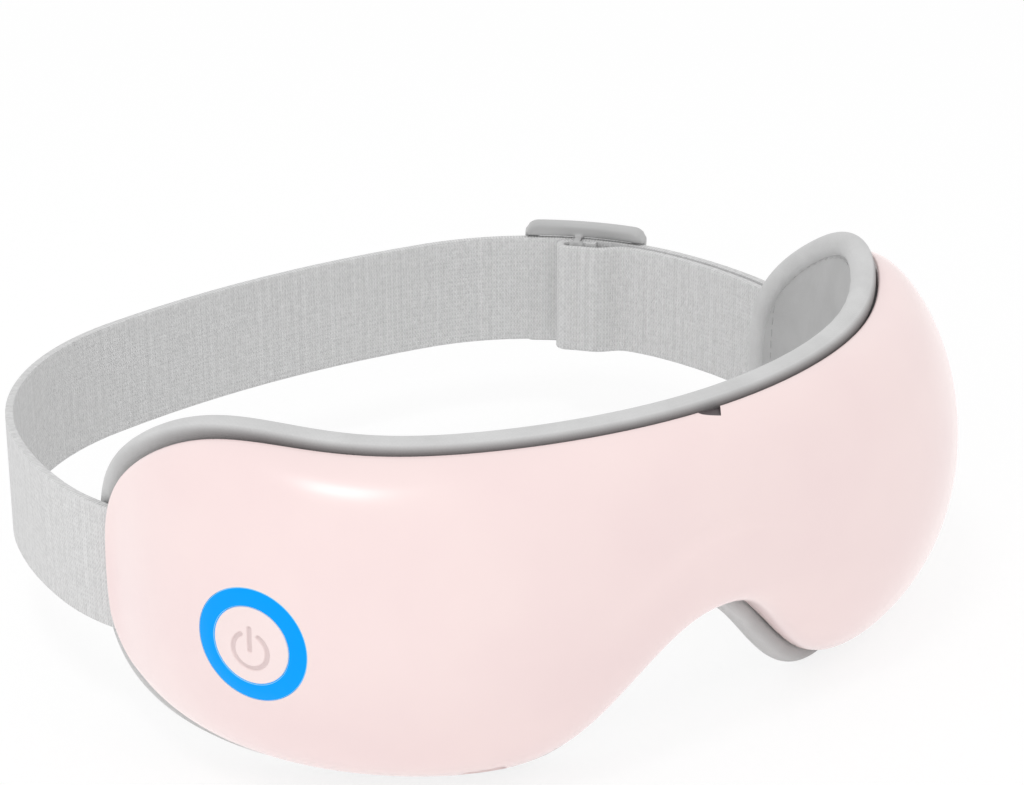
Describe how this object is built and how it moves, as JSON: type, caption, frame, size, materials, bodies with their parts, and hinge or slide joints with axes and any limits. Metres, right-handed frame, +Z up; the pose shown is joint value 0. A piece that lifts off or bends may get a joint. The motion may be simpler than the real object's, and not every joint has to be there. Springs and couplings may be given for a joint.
{
  "type": "eye massager",
  "caption": "Wrap-round eye massager with a glossy pale cover, a lit round power button, a padded face side with airbags and an adjustable elastic head strap.",
  "frame": {"origin": "under the middle of the whole massager, strap included, on the surface it stands on", "axes": "+X to the right seen from the front, the front faces -Y, the strap closes at +Y, +Z up"},
  "size_m": [0.2002, 0.181, 0.0776],
  "materials": {
    "cover_plastic": "gloss",
    "ring_diffuser": "gloss",
    "button_plastic": "satin",
    "inner_plastic": "matte",
    "black_plastic": "matte",
    "board_laminate": "satin",
    "lamp_resin": "satin",
    "steel": "satin",
    "battery_can": "satin",
    "silicone": "matte",
    "heating_film": "satin",
    "roll_cloth": "matte",
    "lining_cloth": "matte",
    "strap_webbing": "matte",
    "buckle_plastic": "satin"
  },
  "bodies": {
    "massager": {"front_cover": "cover_plastic", "light_ring": "ring_diffuser", "inner_frame": "inner_plastic", "button_cup": "inner_plastic", "tact_switch": "black_plastic", "board_chips": "black_plastic", "pump_head": "black_plastic", "air_valve": "black_plastic", "main_board": "board_laminate", "button_board": "board_laminate", "ring_leds": "lamp_resin", "cover_screws": "steel", "anchor_bar_left": "steel", "anchor_bar_right": "steel", "charging_socket": "steel", "pump_motor": "steel", "shaker_motor_left": "steel", "shaker_motor_right": "steel", "battery": "battery_can", "feed_tube": "silicone", "link_tube": "silicone", "airbag_left": "silicone", "airbag_right": "silicone", "warming_film_left": "heating_film", "warming_film_right": "heating_film", "pad_roll": "roll_cloth", "face_lining": "lining_cloth", "strap_band": "strap_webbing", "strap_return": "strap_webbing"},
    "button": {"power_button": "button_plastic", "switch_plunger": "inner_plastic"},
    "buckle": {"slide_buckle": "buckle_plastic"},
    "weight_left": {"shaker_weight_left": "steel"},
    "weight_right": {"shaker_weight_right": "steel"}
  },
  "joints": [
    {"name": "power_press", "type": "slide", "parent": "massager", "child": "button", "axis": [0.8924, 0.4508, 0.0206], "range_m": [0, 0.0008], "stiffness_N_per_m": 1500},
    {"name": "buckle_slide", "type": "hinge", "parent": "massager", "child": "buckle", "pos_m": [0.03387, 0.02383, 0.03589], "axis": [0, 0, 1], "range_deg": [-9, 15], "deforming": ["strap_return"]},
    {"name": "weight_spin_left", "type": "hinge", "parent": "massager", "child": "weight_left", "pos_m": [-0.02467, -0.08193, 0.04689], "axis": [0, 0, 1], "continuous": true},
    {"name": "weight_spin_right", "type": "hinge", "parent": "massager", "child": "weight_right", "pos_m": [0.02467, -0.08193, 0.04689], "axis": [0, 0, 1], "continuous": true}
  ]
}
